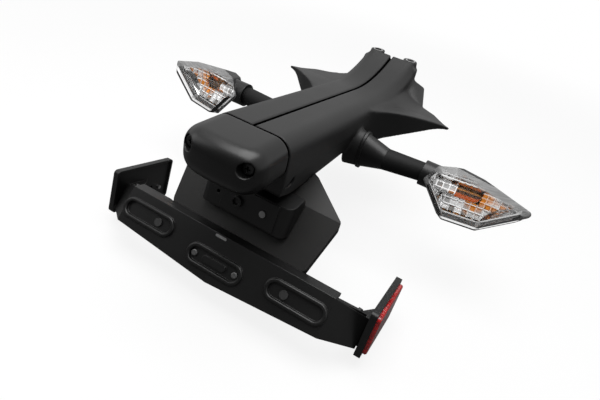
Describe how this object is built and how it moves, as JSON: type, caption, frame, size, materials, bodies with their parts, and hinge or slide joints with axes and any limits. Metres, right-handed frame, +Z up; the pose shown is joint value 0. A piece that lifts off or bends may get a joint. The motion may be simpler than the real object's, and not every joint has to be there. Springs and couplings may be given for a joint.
{
  "type": "motorbike tail tidy",
  "caption": "Motorbike tail tidy: split undertail arm with winglets and end cap, indicators on stems, mud flap, plate lamp, plate bracket and side reflectors.",
  "frame": {"origin": "midway between the two front fixing bosses, on the flat top faces of their steel sleeves", "axes": "+X to the rider's right, +Y forward towards the bike, +Z up"},
  "size_m": [0.3074, 0.2674, 0.1176],
  "materials": {
    "undertail_black": "fine-grained satin",
    "cap_black": "semi-gloss",
    "flap_black": "matt",
    "moulded_black": "satin",
    "bracket_paint": "satin",
    "black_steel": "satin",
    "zinc_steel": "zinc plated",
    "rivet_aluminium": "dull",
    "plug_grey": "matt",
    "reflector_red": "glossy",
    "clear_lens": "clear",
    "bright_chrome": "polished",
    "amber_glass": "clear",
    "white_glass": "clear",
    "stem_rubber": "matt"
  },
  "bodies": {
    "root": {"undertail_right_half": "undertail_black", "undertail_left_half": "undertail_black", "tail_end_cap": "cap_black", "end_cap_screws": "black_steel", "mount_collars": "zinc_steel", "mud_flap": "flap_black", "mud_flap_screws": "zinc_steel", "plate_bracket": "bracket_paint", "bracket_clip": "zinc_steel", "bracket_rivets": "rivet_aluminium", "plate_hole_plugs": "plug_grey", "reflector_studs": "zinc_steel", "reflector_screws": "zinc_steel", "plate_lamp_housing": "moulded_black", "plate_lamp_lens": "clear_lens", "plate_lamp_bulb": "white_glass", "plate_lamp_socket": "moulded_black", "plate_lamp_screw": "black_steel", "plate_lamp_pin": "zinc_steel", "reflector_base_right": "moulded_black", "reflector_base_left": "moulded_black", "reflector_lens_right": "reflector_red", "reflector_lens_left": "reflector_red", "indicator_body_right": "moulded_black", "indicator_body_left": "moulded_black", "indicator_reflector_right": "bright_chrome", "indicator_reflector_left": "bright_chrome", "indicator_socket_right": "moulded_black", "indicator_socket_left": "moulded_black", "indicator_bulb_right": "amber_glass", "indicator_bulb_left": "amber_glass", "indicator_lens_right": "clear_lens", "indicator_lens_left": "clear_lens", "indicator_base_right": "moulded_black", "indicator_base_left": "moulded_black", "indicator_stem_right": "stem_rubber", "indicator_stem_left": "stem_rubber", "indicator_nut_right": "zinc_steel", "indicator_nut_left": "zinc_steel"}
  },
  "joints": []
}
